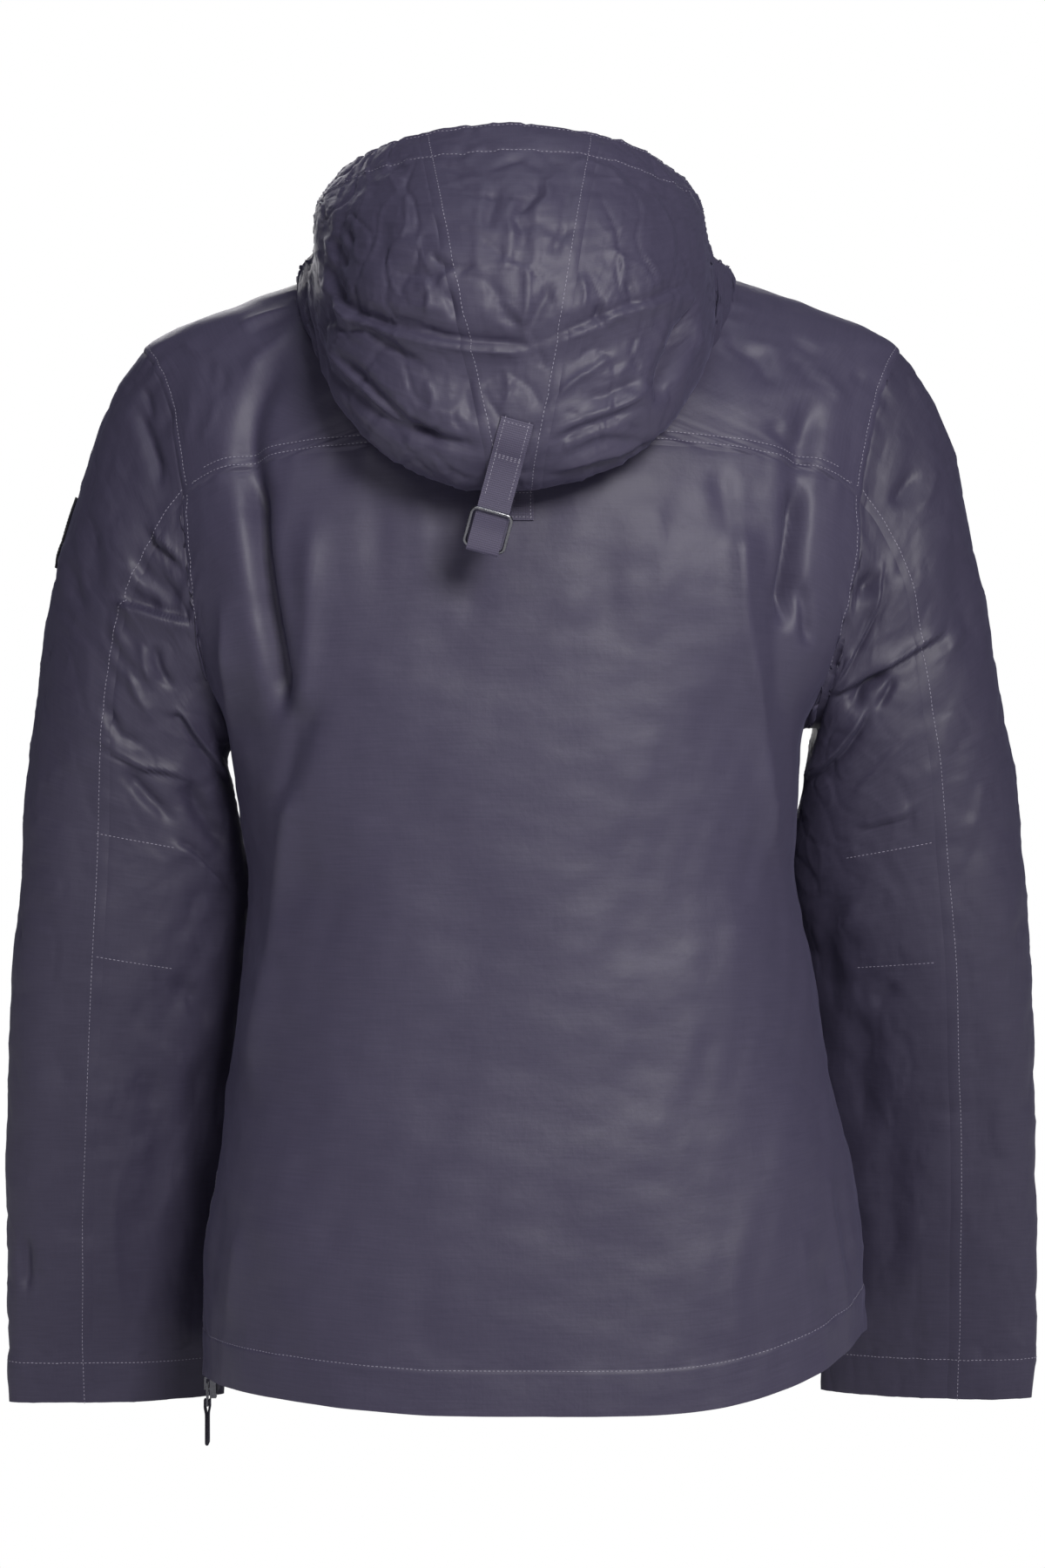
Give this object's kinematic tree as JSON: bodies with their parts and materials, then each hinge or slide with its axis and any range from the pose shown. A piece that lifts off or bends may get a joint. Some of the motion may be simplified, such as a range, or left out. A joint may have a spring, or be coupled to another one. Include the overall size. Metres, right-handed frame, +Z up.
{
  "type": "hooded pullover anorak, worn form without a wearer",
  "caption": "Hip-length hooded pullover anorak in worn form, with yoke, set-in sleeves, hanging hood, hood strap and ring, and a side zip with a pull that swings.",
  "frame": {"origin": "midway between the shoulders, level with the shoulder line where it meets the neck seam", "axes": "+Z up, -Y to the wearer's front, +X to the wearer's left"},
  "size_m": [0.6838, 0.3422, 0.8394],
  "materials": {
    "shell": "dark purple-grey navy nylon taffeta, softly shiny",
    "sleeve_shell": "the same taffeta on the sleeves",
    "patch": "blank black woven patch",
    "zip_tape": "dark woven zip tape with moulded teeth",
    "pull_cord": "dark woven zip pull",
    "gunmetal": "dark polished metal",
    "thread": "grey polyester sewing thread, on the stitching of the visual model"
  },
  "bodies": {
    "garment": {"back_panel": "shell", "front_panel": "shell", "yoke": "shell", "hood_centre": "shell", "hood_side_left": "shell", "hood_side_right": "shell", "sleeve_upper_left": "sleeve_shell", "sleeve_under_left": "sleeve_shell", "sleeve_upper_right": "sleeve_shell", "sleeve_under_right": "sleeve_shell", "side_zip_tape": "zip_tape", "side_zip_slider": "gunmetal", "hood_strap": "shell", "strap_ring": "gunmetal", "strap_anchor": "shell", "sleeve_patch": "patch"},
    "zip_pull": {"side_zip_pull": "gunmetal", "side_zip_cord_pull": "pull_cord"}
  },
  "joints": [
    {"name": "zip_pull_swing", "type": "hinge", "parent": "garment", "child": "zip_pull", "pos_m": [0.20625, 0, -0.717], "axis": [0, -1, 0], "range_deg": [0, 150]}
  ]
}
